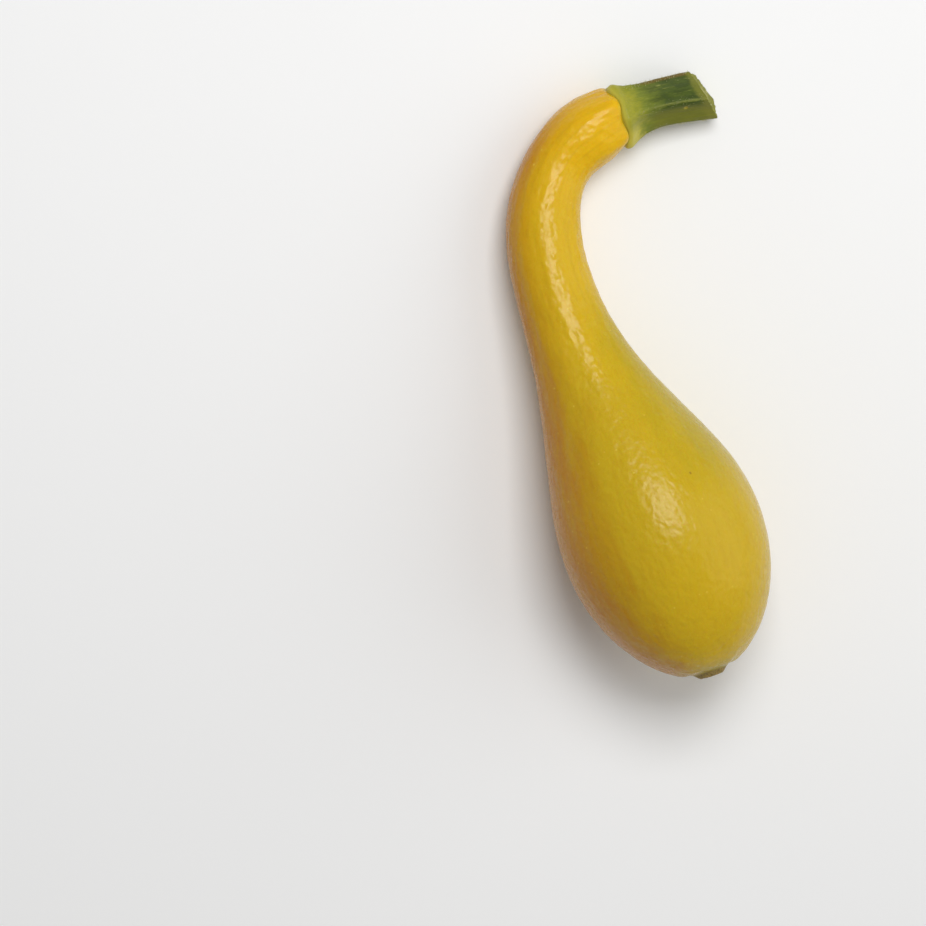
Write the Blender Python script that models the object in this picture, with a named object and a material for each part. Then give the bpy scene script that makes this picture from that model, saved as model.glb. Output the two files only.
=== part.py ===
"""A yellow crookneck summer squash as picked, with its short cut stem.

It lies on its side, with the crook nearly flat. Three low places carry it: the underside of the bulb,
the bend of the neck, and the stem. Each is a little flattened, so that it rests steadily.

One middle line runs through the fruit and on through the stem, and every ring of both skins is set
square to it. Units are metres, +Z is up, +Y runs from the blossom end towards the stem, and the origin
is on the ground, in the middle of the flat spot under the bulb.
"""

import math

import bmesh
import bpy
import numpy as np
from mathutils import Matrix

MM = 0.001

# The middle line as the squash grew, in millimetres: across to the right, along towards the stem, and
# out of the plane of the crook. It starts at the blossom end and stops at the stem's cut.
MIDDLE_LINE_MM = [
    (16.4, -47.6, 0.0),
    (8.8, -24.9, 0.0),
    (0.1, -1.7, 0.0),
    (-12.3, 24.9, 0.0),
    (-24.2, 50.2, 0.0),
    (-34.0, 74.4, 0.0),
    (-39.6, 94.6, -0.6),
    (-39.8, 113.5, -1.6),
    (-33.2, 129.2, -2.3),
    (-19.9, 139.7, -2.7),
    (-5.3, 146.1, -5.3),
    (15.0, 150.4, -11.2),
]

# The fruit's girth in millimetres: distance along the middle line, radius of the skin there.
FRUIT_GIRTH_MM = [
    (0.0, 0.0),
    (12.5, 22.2),
    (24.5, 29.4),
    (37.0, 33.3),
    (50.5, 34.4),
    (64.0, 32.8),
    (78.0, 28.8),
    (92.3, 23.7),
    (106.0, 19.2),
    (119.0, 16.0),
    (131.0, 14.2),
    (152.0, 12.9),
    (171.0, 12.0),
    (188.0, 11.4),
    (202.0, 11.9),
    (210.1, 10.4),
]
WIDEST_AT = FRUIT_GIRTH_MM[4][0] * MM
FRUIT_LENGTH = FRUIT_GIRTH_MM[-1][0] * MM

# The stem's girth over its ridges, in millimetres from the top of the fruit.
STEM_GIRTH_MM = [
    (0.0, 9.8),
    (0.3, 10.8),
    (0.9, 11.5),
    (1.8, 11.8),
    (3.2, 11.4),
    (5.2, 10.4),
    (7.6, 9.5),
    (10.6, 8.9),
    (15.0, 8.6),
    (20.0, 8.7),
    (25.0, 8.9),
    (33.2, 9.1),
]
STEM_LENGTH = STEM_GIRTH_MM[-1][0] * MM

# The top of the fruit, where the stem sits
RIM_ROUNDING_MM = [(0.18, 10.2), (0.2, 9.9)]
SEAT_DEPTH = 0.2 * MM
SEAT_RADIUS = 9.9 * MM
STEM_GAP = 0.3 * MM
JOIN_WAVE = 0.4 * MM
JOIN_REACH = 8.0 * MM
JOIN_WAVE_RADIUS = 10.0 * MM
JOIN_SLANT = 0.13
JOIN_LEAN = 0.09

# The stem's five ridges and its cut, which slants down and back and is a little hollow in its middle
RIDGES = 5
RIDGE_TURN = math.radians(-14.0)
RIDGE_SOFTNESS = 0.03
SIDE_HOLLOW = 0.20
FOOT_HOLLOW = 0.10
FOOT_REACH = 9.0 * MM
CUT_SLANT_DOWN = 0.44
CUT_SLANT_BACK = 0.46
CUT_HOLLOW = 0.15

# The rounded shoulders of the fruit between the stem's ridges
SHOULDER_SWELL = 0.035
SHOULDER_REACH = 24.0 * MM

# The blossom scar, a corky button on the end of the bulb
SCAR_RADIUS = 4.9 * MM
SCAR_EDGE = 1.0 * MM
SCAR_HEIGHT = 0.9 * MM
SCAR_DIMPLE_RADIUS = 1.5 * MM
SCAR_DIMPLE_DEPTH = 0.5 * MM
SCAR_TROUGH_RADIUS = 7.0 * MM
SCAR_TROUGH_WIDTH = 1.4 * MM
SCAR_TROUGH_DEPTH = 0.5 * MM
END_FOLDS = 9
END_FOLD_DEPTH = 0.012
END_FOLD_REACH = 16.0 * MM

# How it lies: rolled about its length until neck and stem are level, then nodded down to the ground,
# and moved until the middle of the bulb's flat spot is the origin
ROLL = math.radians(-9.65)
NOD = math.radians(-6.35)
TO_REST = (3.9 * MM, -4.3 * MM, 33.60 * MM)

# The grid of each skin. The shares are those of the stem's foot and cut radius, from ring to ring.
FRUIT_SECTORS = 50
STEM_SECTORS = 60
SCAR_RINGS = 12
SCAR_REGION = 1.8 * MM
END_RINGS = 14
BODY_RINGS = 34
TOP_RINGS = 5
SEAT_RINGS = 3
FOOT_SHARES = (0, 0.4, 0.75)
CUT_SHARES = (0.85, 0.6, 0.3, 0)
SHARP_FROM = math.radians(50)

# Colour in linear light, roughness, and how much light is carried under the surface
YELLOW_SKIN = ((0.68, 0.42, 0.04), 0.35, 0.1)
GREEN_STEM = ((0.16, 0.22, 0.04), 0.55, 0.05)


def natural_spline(knots, values):
    """Gives the curve that runs through the values at the knots with no kink."""
    knots = np.array(knots, float)
    values = np.array(values, float)
    spans = np.diff(knots)
    count = len(knots)
    system = np.eye(count)
    wanted = np.zeros_like(values)
    slopes = [(values[i + 1] - values[i]) / spans[i] for i in range(count - 1)]
    for i in range(1, count - 1):
        system[i, i - 1 : i + 2] = spans[i - 1], 2 * (spans[i - 1] + spans[i]), spans[i]
        wanted[i] = 6 * (slopes[i] - slopes[i - 1])
    bends = np.linalg.solve(system, wanted)

    def curve(where):
        i = int(np.clip(np.searchsorted(knots, where) - 1, 0, count - 2))
        after = (where - knots[i]) / spans[i]
        before = 1 - after
        sag = (before**3 - before) * bends[i] + (after**3 - after) * bends[i + 1]
        return before * values[i] + after * values[i + 1] + sag * spans[i] ** 2 / 6

    return curve


def make_middle_line(samples=600, step=0.2 * MM):
    """Gives the middle line's point and direction at a distance from the blossom end."""
    points = np.array(MIDDLE_LINE_MM) * MM
    chords = np.concatenate([[0], np.cumsum(np.linalg.norm(np.diff(points, axis=0), axis=1))])
    curve = natural_spline(chords, points)
    places = np.linspace(0, chords[-1], samples)
    fine = np.array([curve(place) for place in places])
    run = np.concatenate([[0], np.cumsum(np.linalg.norm(np.diff(fine, axis=0), axis=1))])

    def at(distance):
        held = float(np.clip(distance, 0, run[-1]))
        place = float(np.interp(held, run, places))
        ahead = curve(min(place + step, chords[-1])) - curve(max(place - step, 0))
        direction = ahead / np.linalg.norm(ahead)
        return curve(place) + direction * (distance - held), direction

    return at


middle_line = make_middle_line()
fruit_girth_squared = natural_spline(
    [place * MM for place, _ in FRUIT_GIRTH_MM],
    [(radius * MM) ** 2 for _, radius in FRUIT_GIRTH_MM],
)


def fruit_girth(along):
    """The squared radius is what runs smoothly, because that makes the blossom end round."""
    return math.sqrt(max(float(fruit_girth_squared(along)), 0.0))


def fade(value, start, end):
    """Falls smoothly from 1 at start to 0 at end."""
    share = min(max((value - start) / (end - start), 0.0), 1.0)
    return 1 - share * share * (3 - 2 * share)


def ridge_wave(turn):
    """1 on each of the stem's ridges and -1 halfway between them."""
    return math.cos(RIDGES * (turn - RIDGE_TURN))


def side_hollow(turn):
    """0 on the crest of each ridge, rising quickly to 1 in the middle of each hollow side."""
    half_turn = math.sin(RIDGES / 2 * (turn - RIDGE_TURN))
    softened = math.sqrt(half_turn**2 + RIDGE_SOFTNESS) - math.sqrt(RIDGE_SOFTNESS)
    return softened / (math.sqrt(1 + RIDGE_SOFTNESS) - math.sqrt(RIDGE_SOFTNESS))


def join_shift(along, radius, turn):
    """The slanting, wavy line where fruit and stem meet: the ridges reach down, the shoulders push up."""
    near = fade(abs(along - FRUIT_LENGTH), 0, JOIN_REACH)
    out = min(radius / JOIN_WAVE_RADIUS, 1.0) ** 2
    slope = JOIN_SLANT * math.cos(turn) + JOIN_LEAN * math.sin(turn)
    return near * (slope * radius - JOIN_WAVE * ridge_wave(turn) * out)


def scar_shift(radius):
    """How far the skin is set back from the blossom end: less on the button, more in the trough."""
    button = fade(radius, SCAR_RADIUS - SCAR_EDGE, SCAR_RADIUS + SCAR_EDGE)
    dimple = math.exp(-((radius / SCAR_DIMPLE_RADIUS) ** 2))
    trough = math.exp(-(((radius - SCAR_TROUGH_RADIUS) / SCAR_TROUGH_WIDTH) ** 2))
    return SCAR_DIMPLE_DEPTH * dimple + SCAR_TROUGH_DEPTH * trough - SCAR_HEIGHT * button


def skin_point(along, radius, turn):
    """The point at a radius round the middle line. Turn 0 is up, a quarter turn is the crook's outside."""
    centre, direction = middle_line(along)
    up = np.array([0, 0, 1]) - direction * direction[2]
    up /= np.linalg.norm(up)
    outside = np.cross(up, direction)
    return centre + (up * math.cos(turn) + outside * math.sin(turn)) * radius


def fruit_point(ring, turn):
    """A point of the fruit's skin, from the plain ring to its lobes, folds, scar and wavy rim."""
    along, radius = ring
    swell = SHOULDER_SWELL * fade(FRUIT_LENGTH - along, 0, SHOULDER_REACH)
    folds = END_FOLD_DEPTH * fade(along, 0, END_FOLD_REACH) * math.cos(END_FOLDS * turn)
    shift = join_shift(along, radius, turn)
    if along < WIDEST_AT:
        shift += scar_shift(radius)
    return skin_point(along + shift, radius * (1 - swell * ridge_wave(turn) + folds), turn)


def stem_point(ring, turn):
    """A point of the stem, with its five ridges, its spread foot and its slanting cut."""
    along, radius = ring
    height = along - FRUIT_LENGTH
    hollow = FOOT_HOLLOW + (SIDE_HOLLOW - FOOT_HOLLOW) * (1 - fade(height, 0, FOOT_REACH))
    radius *= 1 - hollow * side_hollow(turn)
    back = math.cos(turn)
    slant = CUT_HOLLOW * back**2 - CUT_SLANT_BACK * back - CUT_SLANT_DOWN * math.sin(turn)
    reach = (height / STEM_LENGTH) ** 3
    return skin_point(along + join_shift(along, radius, turn) + slant * radius * reach, radius, turn)


def fruit_rings():
    """Distance and radius of each ring of the fruit, from the blossom scar to the seat of the stem."""
    places = [SCAR_REGION * (i / SCAR_RINGS) ** 2 for i in range(SCAR_RINGS)]
    for i in range(END_RINGS):
        quarter = math.pi / 2 * i / END_RINGS
        places.append(SCAR_REGION + (WIDEST_AT - SCAR_REGION) * (1 - math.cos(quarter)))
    top_at = FRUIT_GIRTH_MM[-2][0] * MM
    places += list(np.linspace(WIDEST_AT, top_at, BODY_RINGS, endpoint=False))
    places += list(np.linspace(top_at, FRUIT_LENGTH, TOP_RINGS))
    rings = [(place, fruit_girth(place)) for place in places]
    rings += [(FRUIT_LENGTH + place * MM, radius * MM) for place, radius in RIM_ROUNDING_MM]
    for i in range(1, SEAT_RINGS + 1):
        rings.append((FRUIT_LENGTH + SEAT_DEPTH, SEAT_RADIUS * (1 - i / SEAT_RINGS)))
    return rings


def stem_rings():
    """Distance and radius of each ring of the stem, from the middle of its foot to that of its cut."""
    foot_at = FRUIT_LENGTH + SEAT_DEPTH + STEM_GAP
    cut_at = FRUIT_LENGTH + STEM_LENGTH
    foot_radius = STEM_GIRTH_MM[0][1] * MM
    cut_radius = STEM_GIRTH_MM[-1][1] * MM
    rings = [(foot_at, foot_radius * share) for share in FOOT_SHARES]
    for place, radius in STEM_GIRTH_MM:
        height = place * MM
        rings.append((foot_at + (cut_at - foot_at) * height / STEM_LENGTH, radius * MM))
    rings += [(cut_at, cut_radius * share) for share in CUT_SHARES]
    return rings


def lying_pose():
    """Turns the squash from the plane that it grew in to the way it lies."""
    return (
        Matrix.Translation(TO_REST)
        @ Matrix.Rotation(NOD, 4, "X")
        @ Matrix.Rotation(ROLL, 4, "Y")
    )


def make_skin(name, rings, sectors, point_of, material):
    """Draws a sphere's rings out along the middle line and lays the closed skin on the ground."""
    skin = bmesh.new()
    steps = len(rings) - 1
    bmesh.ops.create_uvsphere(skin, u_segments=sectors, v_segments=steps, radius=1)
    for vertex in skin.verts:
        ring = round(math.acos(max(-1.0, min(1.0, -vertex.co.z))) / math.pi * steps)
        turn = math.atan2(vertex.co.y, vertex.co.x)
        vertex.co = point_of(rings[ring], turn)
    skin.transform(lying_pose())
    for vertex in skin.verts:
        vertex.co.z = max(vertex.co.z, 0.0)
    if skin.calc_volume(signed=True) < 0:
        bmesh.ops.reverse_faces(skin, faces=skin.faces)
    mesh = bpy.data.meshes.new(name)
    skin.to_mesh(mesh)
    skin.free()
    mesh.shade_smooth()
    mesh.set_sharp_from_angle(angle=SHARP_FROM)
    mesh.materials.append(material)
    return bpy.data.objects.new(name, mesh)


def make_material(name, colour, roughness, shine_through):
    """A plant skin: no metal, a little light carried under the surface."""
    material = bpy.data.materials.new(name)
    material.use_nodes = True
    shader = material.node_tree.nodes["Principled BSDF"]
    shader.inputs["Base Color"].default_value = (*colour, 1)
    shader.inputs["Roughness"].default_value = roughness
    shader.inputs["Metallic"].default_value = 0
    shader.inputs["Subsurface Weight"].default_value = shine_through
    return material


def build():
    for leftover in list(bpy.data.objects):
        bpy.data.objects.remove(leftover)
    squash = bpy.data.collections.new("crookneck_squash")
    bpy.context.scene.collection.children.link(squash)
    yellow = make_material("yellow_skin", *YELLOW_SKIN)
    green = make_material("green_stem", *GREEN_STEM)
    squash.objects.link(make_skin("fruit", fruit_rings(), FRUIT_SECTORS, fruit_point, yellow))
    squash.objects.link(make_skin("stem", stem_rings(), STEM_SECTORS, stem_point, green))


build()
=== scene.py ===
# %% [markdown]
# # A crookneck squash, from its growth line to its waxy skin
#
# This lesson dresses a yellow crookneck summer squash that lies on a pale table. The plain model that we
# start from has two solids, a fruit and a stem, at their real size. We keep its measures and make both
# again with a fine skin: dimples, faint lengthwise folds, a corky blossom scar, a fibrous stalk with a
# torn cut, and short bristles. Each step says what the real thing is and why it is made this way.
#
# First we load the plain model and print its box, to set beside the dressed squash's box at the end.

# %% Load the plain model
import math

import bmesh
import bpy
import numpy as np
from mathutils import Matrix, Vector, noise


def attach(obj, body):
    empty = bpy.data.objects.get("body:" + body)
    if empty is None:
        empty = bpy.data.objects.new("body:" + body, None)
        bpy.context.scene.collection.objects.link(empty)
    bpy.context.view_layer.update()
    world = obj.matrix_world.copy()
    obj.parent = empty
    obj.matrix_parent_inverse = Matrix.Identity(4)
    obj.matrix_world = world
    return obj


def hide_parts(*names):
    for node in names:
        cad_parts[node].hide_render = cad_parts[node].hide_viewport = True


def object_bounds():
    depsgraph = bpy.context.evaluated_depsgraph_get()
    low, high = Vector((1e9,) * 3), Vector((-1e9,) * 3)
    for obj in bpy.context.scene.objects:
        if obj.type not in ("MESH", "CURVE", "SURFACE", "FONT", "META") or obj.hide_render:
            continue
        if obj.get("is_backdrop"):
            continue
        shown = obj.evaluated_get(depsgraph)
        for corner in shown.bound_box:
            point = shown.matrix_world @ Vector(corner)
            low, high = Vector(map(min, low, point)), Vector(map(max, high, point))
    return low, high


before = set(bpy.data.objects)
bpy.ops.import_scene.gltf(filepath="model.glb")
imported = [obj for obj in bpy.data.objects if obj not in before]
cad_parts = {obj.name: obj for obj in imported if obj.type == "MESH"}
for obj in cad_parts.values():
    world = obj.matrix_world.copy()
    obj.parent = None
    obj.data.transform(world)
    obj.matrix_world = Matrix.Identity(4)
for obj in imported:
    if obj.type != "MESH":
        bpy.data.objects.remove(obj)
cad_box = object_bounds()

MM = 0.001
BODY = "root"


def print_box(title, box):
    """Prints the lowest and the highest corner of a box."""
    lowest, highest = ([round(value / MM, 1) for value in corner] for corner in box)
    print(title, "reaches from", lowest, "to", highest, "mm")


print_box("plain model", cad_box)

# %% [markdown]
# ## The growth line
#
# A squash hangs from its stem while it grows, and the neck of a crookneck bends as it goes. So the shape
# is a row of round slices strung on one bent line, from the blossom end to the cut of the stem. We could
# bend a straight squash with a Curve modifier, but then we couldn't say where a point of the skin came
# from. Instead we work out the line ourselves. Every point of the skin is then known by three numbers:
# its distance along the line, its radius, and its turn round the line. The patterns on the skin use the
# same three numbers, so they follow the bend as they do on the plant.
#
# The line is a natural spline: it runs through each point, and its bending energy is as small as it can
# be, which is why it looks grown and not drawn.

# %% Points of the growth line
# Across to the right, along towards the stem, and out of the plane of the crook, in millimetres
MIDDLE_LINE_MM = [
    (16.4, -47.6, 0.0),
    (8.8, -24.9, 0.0),
    (0.1, -1.7, 0.0),
    (-12.3, 24.9, 0.0),
    (-24.2, 50.2, 0.0),
    (-34.0, 74.4, 0.0),
    (-39.6, 94.6, -0.6),
    (-39.8, 113.5, -1.6),
    (-33.2, 129.2, -2.3),
    (-19.9, 139.7, -2.7),
    (-5.3, 146.1, -5.3),
    (15.0, 150.4, -11.2),
]
print("the growth line runs through", len(MIDDLE_LINE_MM), "points")

# %% A natural spline
def natural_spline(knots, values):
    """A smooth curve through the values at the knots. It takes an array of places at once."""
    knots, values = np.array(knots, float), np.array(values, float)
    spans = np.diff(knots)
    count = len(knots)
    system, wanted = np.eye(count), np.zeros_like(values)
    for i in range(1, count - 1):
        system[i, i - 1 : i + 2] = spans[i - 1], 2 * (spans[i - 1] + spans[i]), spans[i]
        before, after = values[i] - values[i - 1], values[i + 1] - values[i]
        wanted[i] = 6 * (after / spans[i] - before / spans[i - 1])
    bends = np.linalg.solve(system, wanted)

    def curve(where):
        where = np.asarray(where, float)
        i = np.clip(np.searchsorted(knots, where) - 1, 0, count - 2)
        after = (where - knots[i]) / spans[i]
        span = spans[i]
        if values.ndim > 1:
            after, span = after[..., None], span[..., None]
        before = 1 - after
        sag = (before**3 - before) * bends[i] + (after**3 - after) * bends[i + 1]
        return before * values[i] + after * values[i + 1] + sag * span**2 / 6

    return curve


halfway_up = float(natural_spline([0, 1, 2], [0, 1, 0])(0.5))
print("halfway between 0 and a peak of 1, such a curve is at", round(halfway_up, 3))

# %% Places along the line
LINE_SAMPLES = 4000
TINY = 1e-12


def run_along(points):
    """How far along a row of points each of them is."""
    steps = np.linalg.norm(np.diff(points, axis=0), axis=1)
    return np.concatenate([[0], np.cumsum(steps)])


def unit(vectors):
    """The same directions with a length of 1."""
    return vectors / np.maximum(np.linalg.norm(vectors, axis=-1, keepdims=True), TINY)


line_points = np.array(MIDDLE_LINE_MM) * MM
point_run = run_along(line_points)
line_fine = natural_spline(point_run, line_points)(np.linspace(0, point_run[-1], LINE_SAMPLES))
line_run = run_along(line_fine)
line_heading = np.gradient(line_fine, line_run, axis=0)
print("growth line is", round(line_run[-1] / MM, 1), "mm long")


def read_line(samples, distance):
    """Reads the line's samples at each distance."""
    return np.stack([np.interp(distance, line_run, column) for column in samples.T], axis=-1)


def middle_line(distance):
    """Point and direction of the line at each distance. Past its ends it runs straight on."""
    held = np.clip(distance, 0, line_run[-1])
    heading = unit(read_line(line_heading, held))
    return read_line(line_fine, held) + heading * (distance - held)[..., None], heading


# %% [markdown]
# ## From slices to the way it lies
#
# A point of the skin sits at a radius round the line. Turn 0 looks up at us, and a quarter turn looks to
# the outside of the crook. The squash grew in one plane, but it lies a little rolled and nodded, on its
# bulb, its neck and its stem. One matrix takes every point from the growing plane to the table.

# %% Skin points and the lying pose
ROLL = math.radians(-9.65)
NOD = math.radians(-6.35)
TO_REST = (3.9 * MM, -4.3 * MM, 33.60 * MM)
LYING = Matrix.Translation(TO_REST) @ Matrix.Rotation(NOD, 4, "X") @ Matrix.Rotation(ROLL, 4, "Y")
STRAIGHT_UP = np.array([0.0, 0.0, 1.0])


def skin_point(along, radius, turn):
    """Where the skin is at a distance along the line, a radius round it, and a turn."""
    centre, heading = middle_line(along)
    up = unit(STRAIGHT_UP - heading * heading[..., 2:])
    outside = np.cross(up, heading)
    spoke = up * np.cos(turn)[..., None] + outside * np.sin(turn)[..., None]
    return centre + spoke * radius[..., None]


def lay_down(points):
    """Takes points from the growing plane to the table."""
    turn = np.array(LYING.to_3x3())
    return points @ turn.T + np.array(LYING.translation)


print("middle of the bulb lies", round(TO_REST[2] / MM, 1), "mm above the table")

# %% [markdown]
# ## Girth of the fruit
#
# A few radii along the line give the outline: a full bulb, a long taper, a slim neck and a slightly
# swollen shoulder at the stem. If we ran a smooth curve through the radii, the blossom end would come
# out pointed. The squared radius of a ball grows in proportion to the distance from its end, so we run
# the curve through the squares and take the root.

# %% Girth of the fruit
# Distance along the growth line and radius of the skin there, in millimetres
FRUIT_GIRTH_MM = [
    (0.0, 0.0),
    (12.5, 22.2),
    (24.5, 29.4),
    (37.0, 33.3),
    (50.5, 34.4),
    (64.0, 32.8),
    (78.0, 28.8),
    (92.3, 23.7),
    (106.0, 19.2),
    (119.0, 16.0),
    (131.0, 14.2),
    (152.0, 12.9),
    (171.0, 12.0),
    (188.0, 11.4),
    (202.0, 11.9),
    (210.1, 10.4),
]
WIDEST_AT = max(FRUIT_GIRTH_MM, key=lambda row: row[1])[0] * MM
FRUIT_LENGTH = FRUIT_GIRTH_MM[-1][0] * MM

girth_places, girth_radii = (np.array(FRUIT_GIRTH_MM) * MM).T
girth_squared = natural_spline(girth_places, girth_radii**2)


def fruit_girth(along):
    """Radius of the skin at each distance."""
    return np.sqrt(np.maximum(girth_squared(along), 0))


print("bulb is", round(2 * float(fruit_girth(WIDEST_AT)) / MM, 1), "mm across")

# %% [markdown]
# ## The join and the scar
#
# The stem has five ridges. Where it meets the fruit, the ridges reach down and the fruit pushes up
# between them, so the line between green and yellow is wavy, and it slants. At the other end the flower
# fell off and left a round corky button in a shallow ring, with soft folds running out of it. Both could
# be sculpted, but as small shifts along the growth line they follow when a measure changes.

# %% The join of fruit and stem
RIDGES = 5
RIDGE_TURN = math.radians(-14.0)
JOIN_WAVE = 0.4 * MM
JOIN_REACH = 8.0 * MM
JOIN_WAVE_RADIUS = 10.0 * MM
JOIN_SLANT = 0.13
JOIN_LEAN = 0.09


def fade(value, start, end):
    """Falls smoothly from 1 at start to 0 at end."""
    share = np.clip((value - start) / (end - start), 0, 1)
    return 1 - share * share * (3 - 2 * share)


def ridge_wave(turn):
    """1 on each of the stem's ridges and -1 halfway between them."""
    return np.cos(RIDGES * (turn - RIDGE_TURN))


def join_shift(along, radius, turn):
    """How far the join moves along the line: it slants, and it waves with the ridges."""
    near = fade(np.abs(along - FRUIT_LENGTH), 0, JOIN_REACH)
    out = np.minimum(radius / JOIN_WAVE_RADIUS, 1) ** 2
    slope = JOIN_SLANT * np.cos(turn) + JOIN_LEAN * np.sin(turn)
    return near * (slope * radius - JOIN_WAVE * ridge_wave(turn) * out)


print("ridges are", 360 / RIDGES, "degrees apart")

# %% The blossom scar and the fruit round it
SCAR_RADIUS = 4.9 * MM
SCAR_EDGE = 1.0 * MM
SCAR_HEIGHT = 0.9 * MM
SCAR_DIMPLE_RADIUS = 1.5 * MM
SCAR_DIMPLE_DEPTH = 0.5 * MM
SCAR_TROUGH_RADIUS = 7.0 * MM
SCAR_TROUGH_WIDTH = 1.4 * MM
SCAR_TROUGH_DEPTH = 0.5 * MM
SHOULDER_SWELL = 0.035
SHOULDER_REACH = 24.0 * MM
END_FOLDS = 9
END_FOLD_DEPTH = 0.012
END_FOLD_REACH = 16.0 * MM


def scar_shift(radius):
    """How far the skin is set back from the blossom end: less on the button, more in the ring."""
    button = fade(radius, SCAR_RADIUS - SCAR_EDGE, SCAR_RADIUS + SCAR_EDGE)
    dimple = np.exp(-((radius / SCAR_DIMPLE_RADIUS) ** 2))
    trough = np.exp(-(((radius - SCAR_TROUGH_RADIUS) / SCAR_TROUGH_WIDTH) ** 2))
    return SCAR_DIMPLE_DEPTH * dimple + SCAR_TROUGH_DEPTH * trough - SCAR_HEIGHT * button


def fruit_point(along, radius, turn):
    """The plain ring of the fruit with its lobes, end folds, scar and wavy rim."""
    swell = SHOULDER_SWELL * fade(FRUIT_LENGTH - along, 0, SHOULDER_REACH) * ridge_wave(turn)
    folds = END_FOLD_DEPTH * fade(along, 0, END_FOLD_REACH) * np.cos(END_FOLDS * turn)
    shift = join_shift(along, radius, turn) + np.where(along < WIDEST_AT, scar_shift(radius), 0)
    return skin_point(along + shift, radius * (1 - swell + folds), turn)


print("scar is", round(2 * SCAR_RADIUS / MM, 1), "mm across, with", END_FOLDS, "folds round it")

# %% [markdown]
# ## A mesh from rings
#
# The skin is a net of rings and lengthwise lines, closed by a fan at each end, like the lines on a
# globe. A net like this has its edges along the growth, so lengthwise folds come out clean, which a
# remeshed blob wouldn't give. One helper lays such a net, pushes each point out of the skin by a
# relief, flattens what would go below the table, and stores on every point where it was on a straight
# squash. The materials read that as "straight_mm": across, across and along, in millimetres.

# %% Faces of a net
def outward(net):
    """The direction that the skin faces at each point of a net of rings."""
    along = np.gradient(net, axis=0)
    around = (np.roll(net, -1, axis=1) - np.roll(net, 1, axis=1)) / 2
    return unit(np.cross(around, along))


def net_faces(rings, sectors):
    """Quads between the rings, as vertex numbers, and a fan to the pole at each end."""
    ring, sector = np.meshgrid(np.arange(rings - 1), np.arange(sectors), indexing="ij")
    beside = (sector + 1) % sectors
    low = ring * sectors
    high = low + sectors
    quads = np.stack([low + sector, low + beside, high + beside, high + sector], axis=-1)
    first, last = rings * sectors, rings * sectors + 1
    top = (rings - 1) * sectors
    fans = [(first, (j + 1) % sectors, j) for j in range(sectors)]
    fans += [(last, top + j, top + (j + 1) % sectors) for j in range(sectors)]
    return quads.reshape(-1, 4).tolist() + fans


def with_poles(net):
    """The points of a net as one list, with the middle of its first and last ring added."""
    ends = [net[0].mean(axis=0), net[-1].mean(axis=0)]
    return np.concatenate([net.reshape(-1, net.shape[-1]), ends])


print("a net of 3 rings and 4 lines has", len(net_faces(3, 4)), "faces")

# %% A closed mesh from a net
def straightened(along, radius, turn):
    """Where each point would be if the line were straight."""
    return np.stack([radius * np.cos(turn), radius * np.sin(turn), along + 0 * turn], axis=-1)


def add_object(name, data):
    """Puts a mesh, a light or a camera in the scene."""
    made = bpy.data.objects.new(name, data)
    bpy.context.scene.collection.objects.link(made)
    return made


def make_net(name, net, straight, relief):
    """Turns a net of rings into a closed mesh object that rests on the table."""
    points = lay_down(net)
    points = points + outward(points) * relief[..., None]
    points[..., 2] = np.maximum(points[..., 2], 0)
    mesh = bpy.data.meshes.new(name)
    mesh.from_pydata(with_poles(points).tolist(), [], net_faces(*net.shape[:2]))
    shaped = bmesh.new()
    shaped.from_mesh(mesh)
    if shaped.calc_volume(signed=True) < 0:
        bmesh.ops.reverse_faces(shaped, faces=shaped.faces)
    shaped.to_mesh(mesh)
    shaped.free()
    stored = mesh.attributes.new("straight_mm", "FLOAT_VECTOR", "POINT")
    stored.data.foreach_set("vector", (with_poles(straight) / MM).ravel())
    mesh.shade_smooth()
    return add_object(name, mesh)


print("net helpers are ready")

# %% [markdown]
# ## The rings of the fruit
#
# Fine detail needs fine rings, but only where it is. The scar gets rings a fifth of a millimetre apart,
# the round end follows a quarter circle, and the body is even. Rings as fine as the scar's all over
# would make three times as many faces. Over the rounded rim at the stem, a short curve turns inward,
# and the last rings close the seat under the stem.

# %% The rings of the fruit
FRUIT_SECTORS = 280
SCAR_RINGS = 46
SCAR_REGION = 1.8 * MM
END_RINGS = 66
BODY_RINGS = 196
TOP_RINGS = 18
RIM_RINGS = 9
SEAT_RINGS = 4
# The rim's distance past the end of the girth and its radius, in millimetres. The seat starts at its end
RIM_MM = [(0.0, 10.4), (0.18, 10.2), (0.2, 9.9)]
SEAT_DEPTH, SEAT_RADIUS = (value * MM for value in RIM_MM[-1])


def fruit_rings():
    """Distance and radius of each ring, from the blossom scar to the seat of the stem."""
    scar = SCAR_REGION * (np.arange(1, SCAR_RINGS) / SCAR_RINGS) ** 2
    quarter = math.pi / 2 * np.arange(END_RINGS) / END_RINGS
    end = SCAR_REGION + (WIDEST_AT - SCAR_REGION) * (1 - np.cos(quarter))
    top_at = FRUIT_GIRTH_MM[-2][0] * MM
    body = np.linspace(WIDEST_AT, top_at, BODY_RINGS, endpoint=False)
    top = np.linspace(top_at, FRUIT_LENGTH, TOP_RINGS)
    along = np.concatenate([scar, end, body, top])
    rim_curve = natural_spline(np.linspace(0, 1, len(RIM_MM)), np.array(RIM_MM) * MM)
    rim = rim_curve(np.linspace(0, 1, RIM_RINGS)[1:])
    seat = SEAT_RADIUS * (1 - np.arange(1, SEAT_RINGS) / SEAT_RINGS)
    seat_at = np.full(len(seat), FRUIT_LENGTH + SEAT_DEPTH)
    radius = np.concatenate([fruit_girth(along), rim[:, 1], seat])
    return np.concatenate([along, FRUIT_LENGTH + rim[:, 0], seat_at]), radius


scar_spacing = float(fruit_girth(SCAR_REGION)) / MM / SCAR_RINGS
print("rings at the scar are", round(scar_spacing, 2), "mm apart")

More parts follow.
